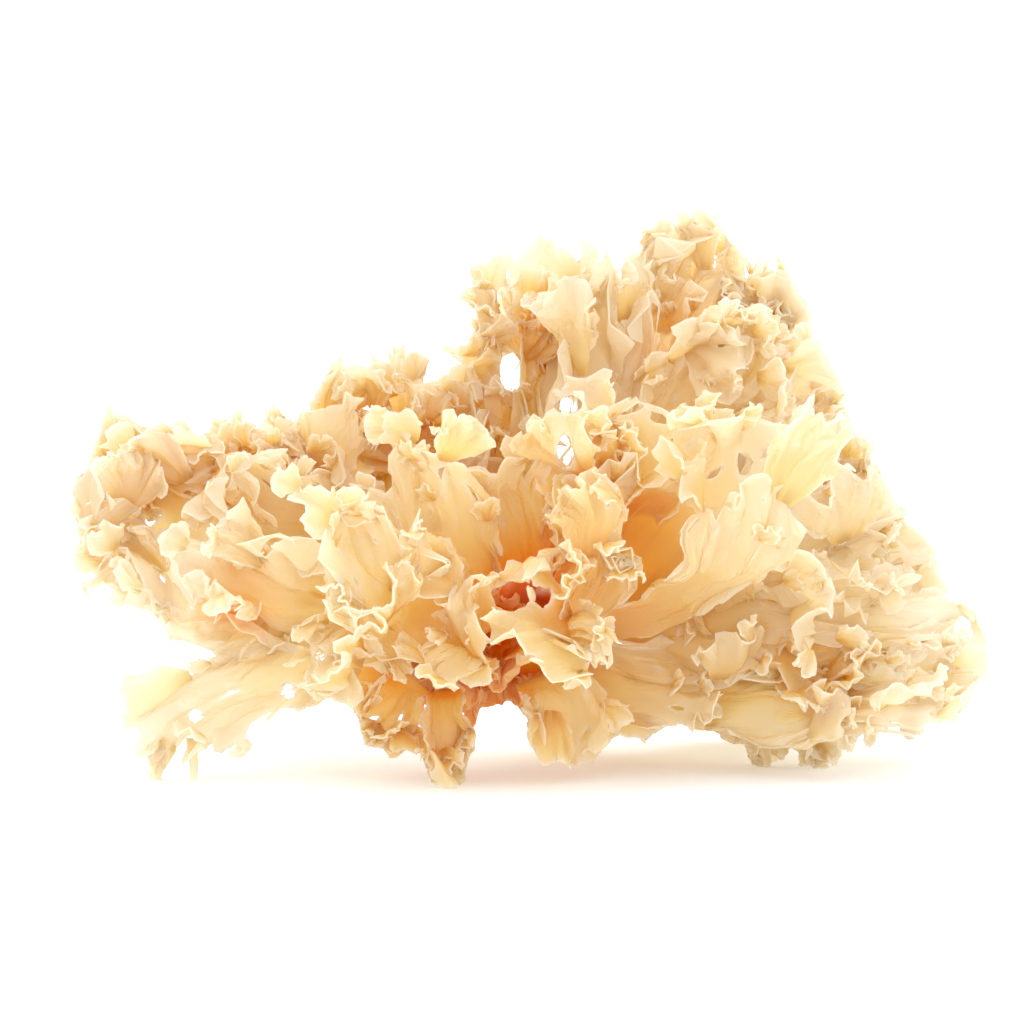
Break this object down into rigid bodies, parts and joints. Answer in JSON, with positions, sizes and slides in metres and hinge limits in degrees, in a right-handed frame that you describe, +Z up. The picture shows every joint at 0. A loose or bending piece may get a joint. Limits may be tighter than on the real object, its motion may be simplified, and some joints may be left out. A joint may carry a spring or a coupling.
{
  "type": "dried snow fungus",
  "caption": "Dried snow fungus: a loose clump of thin, translucent ruffled fronds that fan out from a tough amber base and rest on their tips.",
  "frame": {"origin": "on the floor, under the middle of the clump's bounding box", "axes": "+X to the viewer's right along the longest side, +Y away from the viewer, +Z up"},
  "size_m": [0.11, 0.0714, 0.0672],
  "materials": {
    "frond_tissue": "pale cream dried membrane, translucent, with near-white edges and amber folds, satin",
    "base_tissue": "dark amber to red-brown tough tissue, matte"
  },
  "bodies": {
    "root": {"back_crest_frond": "frond_tissue", "back_foot_frond": "frond_tissue", "back_left_frond": "frond_tissue", "back_left_low_frond": "frond_tissue", "back_middle_frond": "frond_tissue", "back_right_frond": "frond_tissue", "back_right_low_frond": "frond_tissue", "base": "base_tissue", "bowl_edge_frond": "frond_tissue", "bowl_frond": "frond_tissue", "bowl_lip_frond": "frond_tissue", "center_frond": "frond_tissue", "center_low_frond": "frond_tissue", "center_right_frond": "frond_tissue", "crest_frond": "frond_tissue", "crest_front_frond": "frond_tissue", "crest_left_frond": "frond_tissue", "crest_right_frond": "frond_tissue", "crown_back_frond": "frond_tissue", "crown_frond": "frond_tissue", "crown_right_frond": "frond_tissue", "far_right_frond": "frond_tissue", "far_right_low_frond": "frond_tissue", "front_foot_frond": "frond_tissue", "front_foot_side_frond": "frond_tissue", "front_left_frond": "frond_tissue", "front_left_low_frond": "frond_tissue", "front_left_tall_frond": "frond_tissue", "hanging_frond": "frond_tissue", "inner_left_frond": "frond_tissue", "left_curl_frond": "frond_tissue", "left_frond": "frond_tissue", "left_peak_frond": "frond_tissue", "left_ridge_frond": "frond_tissue", "left_saddle_frond": "frond_tissue", "left_underside_frond": "frond_tissue", "lower_left_frond": "frond_tissue", "lower_right_frond": "frond_tissue", "right_curl_frond": "frond_tissue", "right_foot_frond": "frond_tissue", "right_frond": "frond_tissue", "right_shoulder_frond": "frond_tissue", "shelf_frond": "frond_tissue", "shelf_side_frond": "frond_tissue", "upper_curl_frond": "frond_tissue", "upper_left_frond": "frond_tissue", "upper_right_frond": "frond_tissue"}
  },
  "joints": []
}
